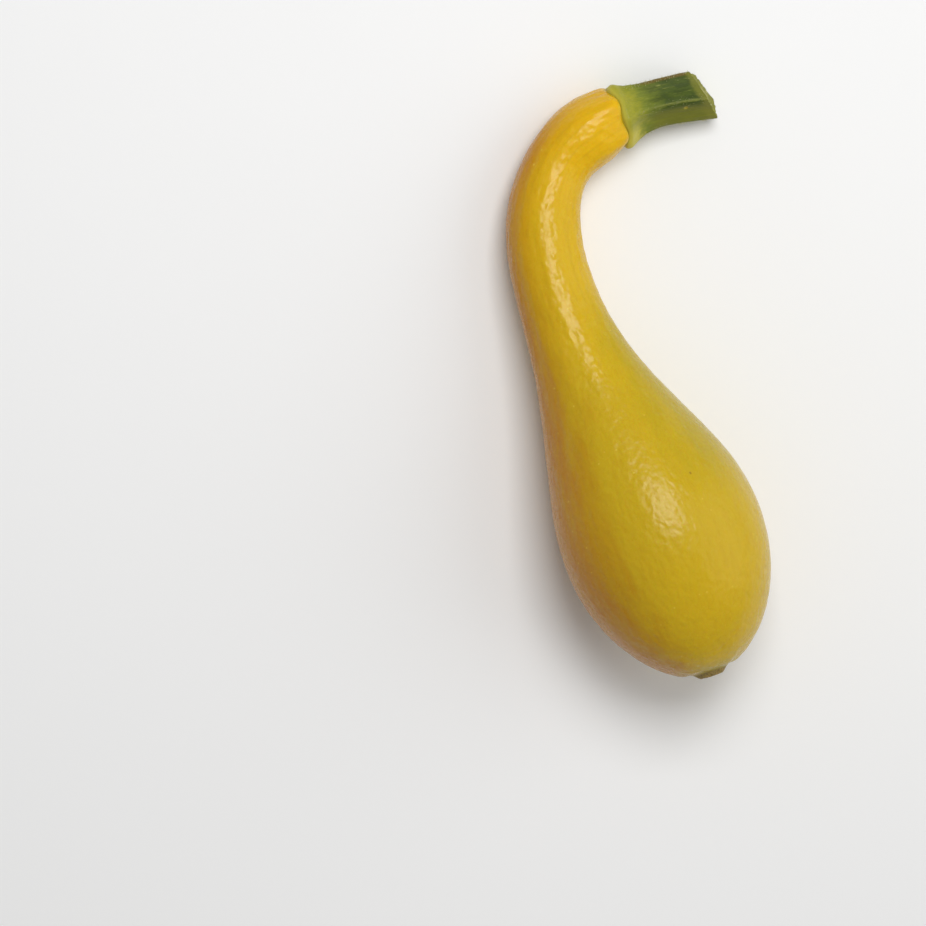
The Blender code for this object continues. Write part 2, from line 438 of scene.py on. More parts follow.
# %% The net of the fruit
def spread_round(along, radius, sectors):
    """Repeats each ring's distance and radius round its turns, as three nets of numbers."""
    turns = np.linspace(0, 2 * math.pi, sectors, endpoint=False)
    shape = (len(along), sectors)
    return [np.broadcast_to(row, shape) for row in (along[:, None], radius[:, None], turns)]


fruit_net = spread_round(*fruit_rings(), FRUIT_SECTORS)
print("fruit net:", fruit_net[0].shape[0], "rings of", FRUIT_SECTORS)

# %% [markdown]
# ## Relief of the skin
#
# The skin looks smooth until light runs over it. Then its highlight breaks into strands and small
# worms, because the surface is full of shallow dimples about two millimetres wide. Under those are wider
# dents and swells, and on the neck faint lengthwise folds. A bump texture could fake them, but it would
# leave the outline smooth. So they are real relief here, drawn out lengthwise on the neck, as the neck
# was when it grew. The blossom scar is rougher: rings and grain in dry cork.

# %% Sizes and depths of the relief
INSET = 0.15 * MM
SWELL_SIZE = 17.0 * MM
SWELL_DEPTH = 0.22 * MM
SWELL_STRETCH = 1.6
FOLD_SIZE = 4.6 * MM
FOLD_DEPTH = 0.25 * MM
FOLD_STRETCH = 14
FOLD_ON_BULB = 0.20
FOLD_ON_SHOULDER = 0.35
DENT_SIZE = 4.2 * MM
DENT_DEPTH = 0.085 * MM
DIMPLE_SIZE = 1.8 * MM
DIMPLE_DEPTH = 0.080 * MM
BULB_STRETCH = 1.1
NECK_STRETCH = 2.2
NECK_DEEPER = 1.9
NECK_FROM = 85.0 * MM
NECK_TO = 135.0 * MM
SHOULDER_FROM = FRUIT_LENGTH - 34.0 * MM
SHOULDER_TO = FRUIT_LENGTH - 12.0 * MM
SMOOTH_FROM = FRUIT_LENGTH - 1.0 * MM
SKIN_FULL_RADIUS = SCAR_TROUGH_RADIUS + 3.0 * MM


def ripple(points, size, stretch=1.0, seed=0.0):
    """Smooth bumps of about this size, from -1 to 1, drawn out lengthwise by stretch."""
    flat = points.reshape(-1, 3) / np.array([size, size, size * stretch]) + seed
    return np.array([noise.noise(Vector(p)) for p in flat]).reshape(points.shape[:-1])


def pitted(place, size, bulb, seed):
    """Pits that are round on the bulb, and longer and deeper on the neck."""
    round_ones = ripple(place, size, BULB_STRETCH, seed)
    long_ones = ripple(place, size, NECK_STRETCH, seed)
    return bulb * round_ones + NECK_DEEPER * (1 - bulb) * long_ones


print("dimples are up to", round(NECK_DEEPER * DIMPLE_DEPTH / MM, 2), "mm deep on the neck")

# %% Cork of the scar
CORK_RING = 1.5 * MM
CORK_RING_DEPTH = 0.05 * MM
CORK_WOBBLE = 1.5
CORK_WOBBLE_SIZE = 3.0 * MM
CORK_GRAIN = 0.8 * MM
CORK_GRAIN_DEPTH = 0.09 * MM


def cork_relief(place, radius):
    """Rings and grain of the dry blossom scar."""
    wobble = CORK_WOBBLE * ripple(place, CORK_WOBBLE_SIZE, seed=5.0)
    ringed = np.cos(2 * math.pi * radius / CORK_RING + wobble)
    return CORK_RING_DEPTH * ringed + CORK_GRAIN_DEPTH * ripple(place, CORK_GRAIN, seed=9.0)


print("cork has", int(SCAR_RADIUS / CORK_RING), "rings")

# %% The fruit with its skin
def fruit_relief(along, radius, turn):
    """How far each point of the skin stands out."""
    place = straightened(along, radius, turn)
    near_end = along < WIDEST_AT
    bulb = fade(along, NECK_FROM, NECK_TO)
    shoulder = 1 - fade(along, SHOULDER_FROM, SHOULDER_TO)
    fold_share = FOLD_ON_BULB * bulb + (1 - bulb) * (1 - (1 - FOLD_ON_SHOULDER) * shoulder)
    swells = SWELL_DEPTH * ripple(place, SWELL_SIZE, SWELL_STRETCH)
    folds = FOLD_DEPTH * ripple(place, FOLD_SIZE, FOLD_STRETCH, seed=3.1) * fold_share
    dents = DENT_DEPTH * pitted(place, DENT_SIZE, bulb, seed=7.7)
    dimples = DIMPLE_DEPTH * pitted(place, DIMPLE_SIZE, bulb, seed=11.3)
    body = 1 - near_end * fade(radius, SCAR_TROUGH_RADIUS, SKIN_FULL_RADIUS)
    body = body * fade(along, SMOOTH_FROM, FRUIT_LENGTH)
    cork = near_end * fade(radius, SCAR_RADIUS - SCAR_EDGE, SCAR_RADIUS)
    return body * (swells + folds + dents + dimples - INSET) + cork * cork_relief(place, radius)


skin_relief = fruit_relief(*fruit_net)
fruit = make_net("fruit_skin", fruit_point(*fruit_net), straightened(*fruit_net), skin_relief)
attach(fruit, BODY)
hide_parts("fruit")
print("fruit skin has", len(fruit.data.vertices), "points")
print("its relief spans", round((skin_relief.max() - skin_relief.min()) / MM, 2), "mm")

# %% [markdown]
# ## The shape of the stem
#
# The stalk of a squash is a bundle of tough fibres with five ridges. It spreads into a soft foot where
# it grips the fruit, and somebody cut it off with one slanting stroke that tore the last fibres. The
# same kind of net makes it: the radius follows the ridges, and near the end every lengthwise line stops
# a little sooner or later, which gives the torn edge. A boolean cut would leave that edge straight.

# %% The rings of the stem
# Height above the top of the fruit and radius over the ridges, in millimetres
STEM_GIRTH_MM = [
    (0.0, 9.8),
    (0.3, 10.8),
    (0.9, 11.5),
    (1.8, 11.8),
    (3.2, 11.4),
    (5.2, 10.4),
    (7.6, 9.5),
    (10.6, 8.9),
    (15.0, 8.6),
    (20.0, 8.7),
    (25.0, 8.9),
    (33.2, 9.1),
]
STEM_LENGTH = STEM_GIRTH_MM[-1][0] * MM
CUT_RADIUS = STEM_GIRTH_MM[-1][1] * MM
FOOT_SUNK = 0.15 * MM
STEM_SECTORS = 320
FOOT_RINGS = 4
SHAFT_RINGS = 170
SHAFT_CROWDING = 1.25
CUT_RINGS = 26


def stem_rings():
    """Height and radius of each ring, from the middle of the foot to the middle of the cut."""
    shape = natural_spline(*(np.array(STEM_GIRTH_MM) * MM).T)
    low = SEAT_DEPTH - FOOT_SUNK
    share = np.linspace(0, 1, SHAFT_RINGS) ** SHAFT_CROWDING
    foot = STEM_GIRTH_MM[0][1] * MM * np.arange(1, FOOT_RINGS) / FOOT_RINGS
    cut = CUT_RADIUS * (1 - np.arange(1, CUT_RINGS) / CUT_RINGS)
    shaft = low + (STEM_LENGTH - low) * share
    height = np.concatenate([np.full(len(foot), low), shaft, np.full(len(cut), STEM_LENGTH)])
    return height, np.concatenate([foot, shape(STEM_LENGTH * share), cut])


stem_net = spread_round(*stem_rings(), STEM_SECTORS)
print("stem net:", stem_net[0].shape[0], "rings of", STEM_SECTORS)

# %% Hollow sides and the slanting, torn cut
RIDGE_SOFTNESS = 0.03
SIDE_HOLLOW = 0.20
FOOT_HOLLOW = 0.10
FOOT_REACH = 9.0 * MM
CUT_SLANT_DOWN = 0.44
CUT_SLANT_BACK = 0.46
CUT_HOLLOW = 0.15
TORN_REACH = 2.2 * MM
TORN_DEPTH = 0.55 * MM
TORN_BACK = 0.4
TORN_SIZE = 0.16
SHRED_SIZE = 0.06
SHRED_SHARE = 0.6


def side_hollow(turn):
    """0 on the crest of each ridge, rising quickly to 1 in the middle of each hollow side."""
    half_turn = np.sin(RIDGES / 2 * (turn - RIDGE_TURN))
    softened = np.sqrt(half_turn**2 + RIDGE_SOFTNESS) - math.sqrt(RIDGE_SOFTNESS)
    return softened / (math.sqrt(1 + RIDGE_SOFTNESS) - math.sqrt(RIDGE_SOFTNESS))


def torn(height, radius, turn):
    """How much sooner or later each fibre ends, near the cut."""
    rim = np.stack([np.cos(turn), np.sin(turn), 0 * turn], axis=-1)
    shreds = SHRED_SHARE * ripple(rim, SHRED_SIZE, seed=4.0)
    edge = ripple(rim, TORN_SIZE, seed=2.0) + shreds - TORN_BACK
    near = 1 - fade(height, STEM_LENGTH - TORN_REACH, STEM_LENGTH)
    return TORN_DEPTH * edge * near * (radius / CUT_RADIUS) ** 3


def stem_point(height, radius, turn):
    """The plain ring of the stem with its ridges, spread foot, slanting cut and torn edge."""
    hollow = FOOT_HOLLOW + (SIDE_HOLLOW - FOOT_HOLLOW) * (1 - fade(height, 0, FOOT_REACH))
    radius = radius * (1 - hollow * side_hollow(turn))
    back = np.cos(turn)
    slant = CUT_HOLLOW * back**2 - CUT_SLANT_BACK * back - CUT_SLANT_DOWN * np.sin(turn)
    along = FRUIT_LENGTH + height
    shift = join_shift(along, radius, turn) + slant * radius * (height / STEM_LENGTH) ** 3
    return skin_point(along + shift + torn(height, radius, turn), radius, turn)


stem_shape = stem_point(*stem_net)
print("stem is", round(STEM_LENGTH / MM, 1), "mm long at its middle")

# %% [markdown]
# ## Relief of the stem
#
# Narrow grooves run lengthwise between the fibres. The foot is soft and lumpy, the crests of the ridges
# are nicked where they rubbed on leaves, and the pith in the cut is spongy. One pale wart sits beside
# the upper ridge. Bump would leave the stem's outline smooth, so all of these are depths that are added
# up and given to the net in one go.

# %% Relief of the stem
FIBRE_DEPTH = 0.085 * MM
FIBRE_SIZE = 0.75 * MM
FIBRE_STRETCH = 18
HAIR_SIZE = 0.42 * MM
HAIR_STRETCH = 14
HAIR_SHARE = 0.5
SHAFT_FROM = (2.5 * MM, 8.0 * MM)
LUMP_SIZE = 3.2 * MM
LUMP_DEPTH = 0.18 * MM
LUMP_STRETCH = 1.2
LUMPS_UNTIL = (5.0 * MM, 12.0 * MM)
NICK_SIZE = 1.7 * MM
NICK_DEPTH = 0.30 * MM
NICK_STRETCH = 2.5
PITH_SIZE = 0.9 * MM
PITH_DEPTH = 0.10 * MM
WART_RADIUS_MM = 8.8
WART_TURN = math.radians(-34)
WART_PLACE = (WART_RADIUS_MM * math.cos(WART_TURN), WART_RADIUS_MM * math.sin(WART_TURN), 24.0)
WART_WIDTH_MM = 0.7
WART_DEPTH = 0.35 * MM


def stem_relief(height, radius, turn):
    """Grooves, lumps, nicks, pith and the wart."""
    place = straightened(height, radius, turn)
    at_cut = np.isclose(height, STEM_LENGTH)
    shaft = (1 - fade(height, *SHAFT_FROM)) * ~at_cut
    hairlines = HAIR_SHARE * ripple(place, HAIR_SIZE, HAIR_STRETCH, seed=8.0)
    grooves = ripple(place, FIBRE_SIZE, FIBRE_STRETCH, seed=6.0) + hairlines
    lumps = ripple(place, LUMP_SIZE, LUMP_STRETCH, seed=1.0) * fade(height, *LUMPS_UNTIL)
    rubbed = (1 - side_hollow(turn)) ** 2 * shaft
    nicks = -np.abs(ripple(place, NICK_SIZE, NICK_STRETCH, seed=12.0)) * rubbed
    pith = ripple(place, PITH_SIZE, seed=14.0) * at_cut
    from_wart = np.linalg.norm(place / MM - np.array(WART_PLACE), axis=-1)
    wart = np.exp(-((from_wart / WART_WIDTH_MM) ** 2))
    fine = FIBRE_DEPTH * shaft * grooves + PITH_DEPTH * pith
    return fine + LUMP_DEPTH * lumps + NICK_DEPTH * nicks + WART_DEPTH * wart


stem = make_net("stem_stalk", stem_shape, straightened(*stem_net), stem_relief(*stem_net))
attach(stem, BODY)
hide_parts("stem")
print("stem has", len(stem.data.vertices), "points")

# %% [markdown]
# ## Helpers for materials
#
# Materials here are small programs made of nodes. A few helpers keep them readable: each adds one node
# or a few, joins them to what feeds them, and gives an output back. A new node goes into the tree of
# what feeds it, so the tree isn't handed round. Colours are written as they look on a screen, 0 to 255,
# and turned into the linear light that shaders add up. What is the same all over a surface is set on
# the shader itself, from a short table that is named for the finish.

# %% Colours and materials
def colour(red, green, blue):
    """A screen colour as linear light."""
    share = [c / 255 for c in (red, green, blue)]
    return tuple(c / 12.92 if c <= 0.04045 else ((c + 0.055) / 1.055) ** 2.4 for c in share) + (1.0,)


def start_material(name, finish):
    """A new material with an even finish, and its main shader."""
    material = bpy.data.materials.new(name)
    material.use_nodes = True
    shader = material.node_tree.nodes["Principled BSDF"]
    for socket, value in finish.items():
        shader.inputs[socket].default_value = value
    return material, shader


print("a mid grey of 128 on a screen is", round(colour(128, 128, 128)[0], 3), "of full light")

# %% Nodes that calculate
def feed(socket, value):
    """Joins a socket to another node's output, or sets its plain value."""
    if isinstance(value, bpy.types.NodeSocket):
        socket.id_data.links.new(value, socket)
    else:
        socket.default_value = value


def new_node(kind, *beside):
    """A new node in the same tree as the node or the output beside it."""
    tree = next(thing.id_data for thing in beside if hasattr(thing, "id_data"))
    return tree.nodes.new(kind)


def calculate(operation, first, second):
    """One step of arithmetic."""
    node = new_node("ShaderNodeMath", first, second)
    node.operation = operation
    feed(node.inputs[0], first)
    feed(node.inputs[1], second)
    return node.outputs[0]


def times(first, second):
    """The product."""
    return calculate("MULTIPLY", first, second)


def plus(first, second):
    """The sum."""
    return calculate("ADD", first, second)


def swing(cloudy, amount):
    """Turns noise round 0.5 into a value that swings round 0 by this amount."""
    return times(calculate("SUBTRACT", cloudy, 0.5), amount)


def between(value, low, high, to_low=0.0, to_high=1.0):
    """A smooth step of a value from one range to another."""
    node = new_node("ShaderNodeMapRange", value)
    node.interpolation_type = "SMOOTHSTEP"
    for socket, given in zip(node.inputs, (value, low, high, to_low, to_high)):
        feed(socket, given)
    return node.outputs[0]


print("calculating helpers are ready")

# %% Nodes that read and scale places
ACROSS_ONLY = (1, 1, 0)
MIDDLE = (0, 0, 0)


def vector_node(operation, vector, other=MIDDLE):
    """A vector calculation with one fixed vector."""
    node = new_node("ShaderNodeVectorMath", vector)
    node.operation = operation
    feed(node.inputs[0], vector)
    node.inputs[1].default_value = other
    return node.outputs


def scaled(vector, scale):
    """A vector with each of its parts multiplied."""
    return vector_node("MULTIPLY", vector, scale)["Vector"]


def distance_to(vector, place):
    """How far a place is from a fixed one."""
    return vector_node("DISTANCE", vector, place)["Value"]


def split(vector):
    """The three parts of a vector."""
    parts = new_node("ShaderNodeSeparateXYZ", vector)
    feed(parts.inputs[0], vector)
    return parts.outputs


def stored_on_skin(name, beside):
    """What the mesh stores at each point under this name."""
    node = new_node("ShaderNodeAttribute", beside)
    node.attribute_name = name
    return node.outputs


print("place helpers are ready")

# %% Noise and spots
SPOT_CORE = 0.5


def drawn_out(vector, lengthwise):
    """Draws a pattern out along the growth: at 0.1 it gets ten times as long."""
    return vector if lengthwise == 1 else scaled(vector, (1, 1, lengthwise))


def noise_of(vector, scale, detail=2.0, roughness=0.5, lengthwise=1):
    """Cloudy noise round 0.5."""
    vector = drawn_out(vector, lengthwise)
    node = new_node("ShaderNodeTexNoise", vector)
    feed(node.inputs["Vector"], vector)
    for socket, value in zip(("Scale", "Detail", "Roughness"), (scale, detail, roughness)):
        node.inputs[socket].default_value = value
    return node.outputs["Fac"]


def spots_of(vector, scale, radius, kept, lengthwise=1):
    """Round spots at random places, as a mask. Only a kept share of them shows."""
    vector = drawn_out(vector, lengthwise)
    node = new_node("ShaderNodeTexVoronoi", vector)
    feed(node.inputs["Vector"], vector)
    node.inputs["Scale"].default_value = scale
    parts = new_node("ShaderNodeSeparateColor", vector)
    feed(parts.inputs[0], node.outputs["Color"])
    reach = radius * scale
    shape = between(node.outputs["Distance"], SPOT_CORE * reach, reach, 1.0, 0.0)
    return times(shape, calculate("LESS_THAN", parts.outputs[0], kept))


print("pattern helpers are ready")

# %% Nodes that mix and bump
def mix_colours(share, first, second):
    """The first colour where the share is 0, the second where it is 1."""
    node = new_node("ShaderNodeMix", share)
    node.data_type = "RGBA"
    for socket, given in zip(("Factor", "A", "B"), (share, first, second)):
        feed(node.inputs[socket], given)
    return node.outputs["Result"]


def colour_band(value, stops):
    """A colour that changes along a value, from a list of (place, colour)."""
    node = new_node("ShaderNodeValToRGB", value)
    feed(node.inputs[0], value)
    band = node.color_ramp
    band.elements[0].position, band.elements[0].color = stops[0]
    band.elements[-1].position, band.elements[-1].color = stops[-1]
    for place, shade in stops[1:-1]:
        band.elements.new(place).color = shade
    return node.outputs["Color"]


def bumps(height, depth, under=None):
    """A normal that is tilted by a height of this depth in metres."""
    node = new_node("ShaderNodeBump", height)
    node.inputs["Distance"].default_value = depth
    feed(node.inputs["Height"], height)
    if under is not None:
        feed(node.inputs["Normal"], under)
    return node.outputs["Normal"]


print("colour helpers are ready")

# %% [markdown]
# ## The colours of the skin
#
# A ripe crookneck isn't one yellow. The bulb still has some lime in it, the neck is golden, and the
# shoulder at the stem is the warmest. The outside of the crook, which had the most sun, is ochre, and
# that ochre is partly painted shade too, for the darker fall of light on that side. The shaded side
# inside the crook is greener. The ripeness is cloudy, and both sides end in soft lengthwise bands. We
# could paint an image, but nodes that read the straightened place have no seam and no stretch.
#
# Two kinds of row come back in all the materials from here on. A noise is (patches in a millimetre,
# detail, roughness, lengthwise). A change is (start, end, value before, value after). Without its last
# numbers a noise isn't drawn out, and a change goes from 0 to 1.

# %% The colours of the skin
LIME = colour(200, 169, 28)
LEMON = colour(209, 174, 26)
GOLD = colour(215, 175, 22)
AMBER = colour(227, 181, 20)
# Ochre of the sunned outer side, partly painted shade for the darker fall of light on that side
OCHRE_AND_PAINTED_SHADE = colour(180, 110, 12)
SHADED_LIME = colour(172, 154, 30)
RIPENESS = [(0.0, LEMON), (0.22, LIME), (0.42, LIME), (0.58, LEMON), (0.78, GOLD), (0.96, AMBER)]
RIPE_CLOUDS = (0.045, 3, 0.55)
RIPE_BANDS = (0.16, 3, 0.6, 0.05)
RIPENESS_SWING_MM = 70.0
SIDE_SWING = 0.8
# By the side, from -1 inside the crook to 1 outside
SUN_AND_SHADE_SIDE = (0.10, 1.05, 0.0, 0.82)
SHADED = (-0.2, -1.0, 0.0, 0.75)
# By millimetres along the growth line
SUN_AND_SHADE_ON_SHOULDER = (182.0, 205.0, 1.0, 0.25)
SHADE_STARTS = (45.0, 75.0)
SHADE_ENDS = (115.0, 145.0, 1.0, 0.0)


def side_share(place):
    """From -1 inside the crook to 1 outside, whatever the girth."""
    flat = scaled(place, ACROSS_ONLY)
    return split(vector_node("NORMALIZE", flat)["Vector"])[1]


def grown_colour(place, along):
    """Ripeness from end to end, with the sun's side, whose ochre is partly painted shade, and the
    shade's side.
    """
    clouds = noise_of(place, *RIPE_CLOUDS)
    bands = noise_of(place, *RIPE_BANDS)
    reached = plus(along, swing(clouds, RIPENESS_SWING_MM))
    base = colour_band(times(reached, MM / FRUIT_LENGTH), RIPENESS)
    side = plus(side_share(place), swing(bands, SIDE_SWING))
    # Ochre on the outer side: partly the skin's own sunned colour, partly painted shade for the darker
    # fall of light there
    ochre_and_shade = times(between(side, *SUN_AND_SHADE_SIDE), between(along, *SUN_AND_SHADE_ON_SHOULDER))
    base = mix_colours(ochre_and_shade, base, OCHRE_AND_PAINTED_SHADE)
    shaded = times(between(side, *SHADED), between(along, *SHADE_STARTS))
    shaded = times(shaded, between(along, *SHADE_ENDS))
    return mix_colours(shaded, base, SHADED_LIME)


print("ripeness runs through", len(RIPENESS), "stops over", round(FRUIT_LENGTH / MM), "mm")

# %% [markdown]
# ## Marks on the skin
#
# On the yellow are fine lengthwise streaks, pale pores and a few brown specks. Round the blossom scar
# the skin is greener, the scar itself is grey-brown cork, and there is a trace of green in the crease
# at the stem. Painted marks would blur close up. Each mark here is a mask that mixes one more colour
# in. Spots are given as (spots in a millimetre, radius in millimetres, share that shows, lengthwise).

# %% Streaks, pores and specks
STREAK = colour(188, 150, 20)
STREAKS = (0.7, 2, 0.6, 0.05)
STREAK_SHARE = (0.45, 0.70, 0.0, 0.22)
PORE = colour(232, 204, 84)
PORES = (0.24, 0.42, 0.55)
PORE_SHARE = 0.55
SPECK = colour(140, 96, 34)
SPECKS = (0.11, 0.5, 0.5, 0.8)
SPECK_SHARE = 0.7


def add_small_marks(place, base):
    """Streaks, pores and specks. The pores' mask comes back too, for their relief."""
    streaks = noise_of(place, *STREAKS)
    base = mix_colours(between(streaks, *STREAK_SHARE), base, STREAK)
    pores = spots_of(place, *PORES)
    base = mix_colours(times(pores, PORE_SHARE), base, PORE)
    specks = spots_of(place, *SPECKS)
    return mix_colours(times(specks, SPECK_SHARE), base, SPECK), pores


print("pores are", 2 * PORES[1], "mm wide")

# %% The scar and the crease
CORK = colour(172, 146, 84)
CORK_DARK = colour(118, 100, 52)
CORK_MOTTLE = (1.6, 4, 0.7)
MOTTLED = (0.35, 0.65)
HALO = colour(160, 150, 40)
SCAR_CLOUDS = (0.7, 2, 0.6)
SCAR_SWING_MM = 1.5
SCAR_FLATTENED = (1, 1, 0.4)
# By millimetres from the middle of the scar, and along the growth line
HALO_FADES = (6.0, 15.0, 0.6, 0.0)
CORK_ENDS = (5.4, 6.8, 1.0, 0.0)
CREASE_STARTS = (FRUIT_LENGTH / MM - 1.0, FRUIT_LENGTH / MM + 0.2, 0.0, 0.3)


def add_scar_and_crease(place, along, base):
    """The green halo, the cork and the crease. The cork's mask comes back too, because it is dull."""
    clouds = noise_of(place, *SCAR_CLOUDS)
    from_end = distance_to(scaled(place, SCAR_FLATTENED), MIDDLE)
    from_end = plus(from_end, swing(clouds, SCAR_SWING_MM))
    base = mix_colours(between(from_end, *HALO_FADES), base, HALO)
    mottle = noise_of(place, *CORK_MOTTLE)
    cork_colour = mix_colours(between(mottle, *MOTTLED), CORK_DARK, CORK)
    cork = between(from_end, *CORK_ENDS)
    base = mix_colours(cork, base, cork_colour)
    return mix_colours(between(along, *CREASE_STARTS), base, HALO), cork


print("the scar's cork ends", CORK_ENDS[1], "mm from its middle")

# %% [markdown]
# ## The waxy skin
#
# The skin is thin and waxy. It shines in patches, and the light that goes in travels a few millimetres
# and warms the shaded side, so the shader carries light under the surface. Between the dimples of the
# mesh are softer ones that only the shine shows. Those are bump, because they are only about two faces
# of the net wide. They are a little deeper on the neck.

# %% The waxy skin
SKIN_FINISH = {
    "Subsurface Weight": 0.4,
    "Subsurface Radius": (1.0, 0.6, 0.08),
    "Subsurface Scale": 3 * MM,
    "Specular Tint": (1.0, 0.94, 0.82, 1.0),
    "Specular IOR Level": 0.26,
}
WAX_PATCHES = (0.35, 3, 0.6)
SHINE = (0.3, 0.7, 0.21, 0.33)
CORK_DULL = 0.45
DIMPLES = (0.60, 0.6, 0.5, 0.75)
DIMPLE_BUMP = 0.23 * MM
NECK_BUMP = (NECK_FROM / MM, NECK_TO / MM, 1.0, 1.1)
PORE_BUMP = 0.02 * MM


def make_yellow_skin():
    """Yellow skin with its marks, wax and fine dimples."""
    material, shader = start_material("yellow_skin", SKIN_FINISH)
    place = stored_on_skin("straight_mm", shader)["Vector"]
    along = split(place)[2]
    base, pores = add_small_marks(place, grown_colour(place, along))
    base, cork = add_scar_and_crease(place, along, base)
    feed(shader.inputs["Base Color"], base)
    wax = between(noise_of(place, *WAX_PATCHES), *SHINE)
    feed(shader.inputs["Roughness"], plus(wax, times(cork, CORK_DULL)))
    dimples = times(noise_of(place, *DIMPLES), between(along, *NECK_BUMP))
    dimpled = bumps(dimples, DIMPLE_BUMP)
    feed(shader.inputs["Normal"], bumps(pores, PORE_BUMP, dimpled))
    return material


fruit.data.materials.append(make_yellow_skin())
print("yellow skin has", len(fruit.data.materials[0].node_tree.nodes), "nodes")

# %% [markdown]
# ## The colours of the stem
#
# The stalk is dark green where it had sun and olive inside the crook, with fine pale fibres along it.
# Its foot, where it grew out of the fruit, is soft and lime yellow. Its rim next to the fruit and its
# inner side are painted paler, as painted light, where they face away from the lamps. The crests are
# pale where they are worn, the outer one is brown, and the last few millimetres have dried to olive
# since the cut. To know where the crests are, the mesh stores one more number on each point: 1 on a
# crest, 0 in a hollow. Nodes could work it out from the turn, but then the same formula would be written
# twice.

# %% The stalk from foot to cut
FOOT_LIME = colour(160, 156, 42)
# Painted light: a paler colour for the foot's rim next to the fruit and its inner side, which face away
# from the lamps
FOOT_PAINTED_LIGHT = colour(204, 192, 70)
STALK_LIGHT = colour(116, 126, 34)
STALK_GREEN = colour(70, 86, 14)
STALK_DARK = colour(48, 62, 10)
STALK_OLIVE = colour(118, 120, 32)
FIBRE_PALE = colour(150, 152, 70)
GREENING = [
    (0.0, FOOT_LIME),
    (0.10, FOOT_LIME),
    (0.30, STALK_LIGHT),
    (0.54, STALK_GREEN),
    (1.0, STALK_GREEN),
]
FIBRE_SWING_MM = 9.0
PALE_FIBRES = (2.6, 2, 0.5, 0.09)
PALE_SHARE = (0.60, 0.74, 0.0, 0.45)
FLECKS = (0.50, 0.36, 0.30, 0.28)
FLECK_SHARE = 0.6
BLOTCHES = (0.55, 3, 0.6, 0.35)
BLOTCH_SHARE = (0.42, 0.62, 0.0, 0.5)
# By millimetres above the foot
GROWN = (8.0, 15.0)
FOOT_EDGE_PAINTED_LIGHT = (0.4, 2.4, 0.65, 0.0)
PAINTED_LIGHT_ENDS = (4.0, 10.0, 1.0, 0.0)
# By millimetres towards the inside of the crook
OLIVE_STARTS = (1.0, 4.5, 0.0, 0.85)
BLOTCHES_END = (0.5, 3.5, 1.0, 0.15)
PAINTED_LIGHT_STARTS = (3.0, 9.0, 0.0, 0.8)


def stalk_colour(place, height, inner, fibres, clouds):
    """From the lime foot to the dark stalk, olive on its inner side, with pale fibres, blotches and
    painted light on the foot.
    """
    reached = plus(height, plus(swing(fibres, FIBRE_SWING_MM), clouds))
    base = colour_band(times(reached, MM / STEM_LENGTH), GREENING)
    grown = between(height, *GROWN)
    olive = between(inner, *OLIVE_STARTS)
    base = mix_colours(times(olive, grown), base, STALK_OLIVE)
    pale = noise_of(place, *PALE_FIBRES)
    base = mix_colours(between(pale, *PALE_SHARE), base, FIBRE_PALE)
    flecks = times(spots_of(place, *FLECKS), FLECK_SHARE)
    base = mix_colours(times(flecks, grown), base, FIBRE_PALE)
    blotch = noise_of(place, *BLOTCHES)
    blotch = times(between(blotch, *BLOTCH_SHARE), grown)
    blotch = times(blotch, between(inner, *BLOTCHES_END))
    base = mix_colours(blotch, base, STALK_DARK)
    # Painted light on the foot's rim next to the fruit and on its inner side, where they face away from
    # the lamps
    base = mix_colours(between(height, *FOOT_EDGE_PAINTED_LIGHT), base, FOOT_PAINTED_LIGHT)
    painted_light_foot = times(between(inner, *PAINTED_LIGHT_STARTS), between(reached, *PAINTED_LIGHT_ENDS))
    return mix_colours(painted_light_foot, base, FOOT_PAINTED_LIGHT)


print("stalk is fully green", GROWN[1], "mm above its foot")

# %% Crests, dry end and wart
CREST_PALE = colour(118, 124, 48)
RIND_BROWN = colour(112, 88, 36)
DRY_EDGE = colour(124, 124, 40)
WART_YELLOW = colour(176, 158, 60)
# By the stored crest, and by the fibres' noise
CREST_WORN = (0.93, 1.0)
CREST_BROWN = (0.70, 0.95, 0.0, 0.8)
WORN_FIBRES = (0.36, 0.54, 0.35, 1.0)
# By millimetres to the outside of the crook, from the cut, and from the wart
OUTER_SIDE = (4.0, 7.0)
DRY_FADES = (1.5, 4.5, 0.75, 0.0)
WART_FADES = (0.3, 1.1, 0.9, 0.0)


def add_worn_edges(place, height, out, fibres, clouds, base):
    """Pale crests, the brown outer crest, the dry end and the wart."""
    crest = stored_on_skin("crest", base)["Fac"]
    grown = between(height, *GROWN)
    worn = times(between(crest, *CREST_WORN), between(fibres, *WORN_FIBRES))
    base = mix_colours(times(worn, grown), base, CREST_PALE)
    outer = times(between(crest, *CREST_BROWN), between(out, *OUTER_SIDE))
    base = mix_colours(times(outer, grown), base, RIND_BROWN)
    from_cut = calculate("SUBTRACT", STEM_LENGTH / MM, plus(height, clouds))
    base = mix_colours(between(from_cut, *DRY_FADES), base, DRY_EDGE)
    wart = between(distance_to(place, WART_PLACE), *WART_FADES)
    return mix_colours(wart, base, WART_YELLOW)


crests = stem.data.attributes.new("crest", "FLOAT", "POINT")
on_crest = 1 - side_hollow(stem_net[2]).ravel()
crests.data.foreach_set("value", np.concatenate([on_crest, [0, 0]]).astype(np.float32))
print("points on a crest:", int((on_crest > 0.9).sum()))

# %% [markdown]
# ## The rind and the fresh cut
#
# The rind is dull, a little glossier on its soft foot. The cut is another finish on the same piece: pale
# pith in the middle, a ring of strands that carried the sap, and green rind round it. So the faces of
# the cut get a material of their own.

# %% The rind
RIND_FINISH = {
    "Subsurface Weight": 0.08,
    "Subsurface Radius": (0.6, 0.8, 0.15),
    "Subsurface Scale": 2 * MM,
    "Specular IOR Level": 0.3,
}
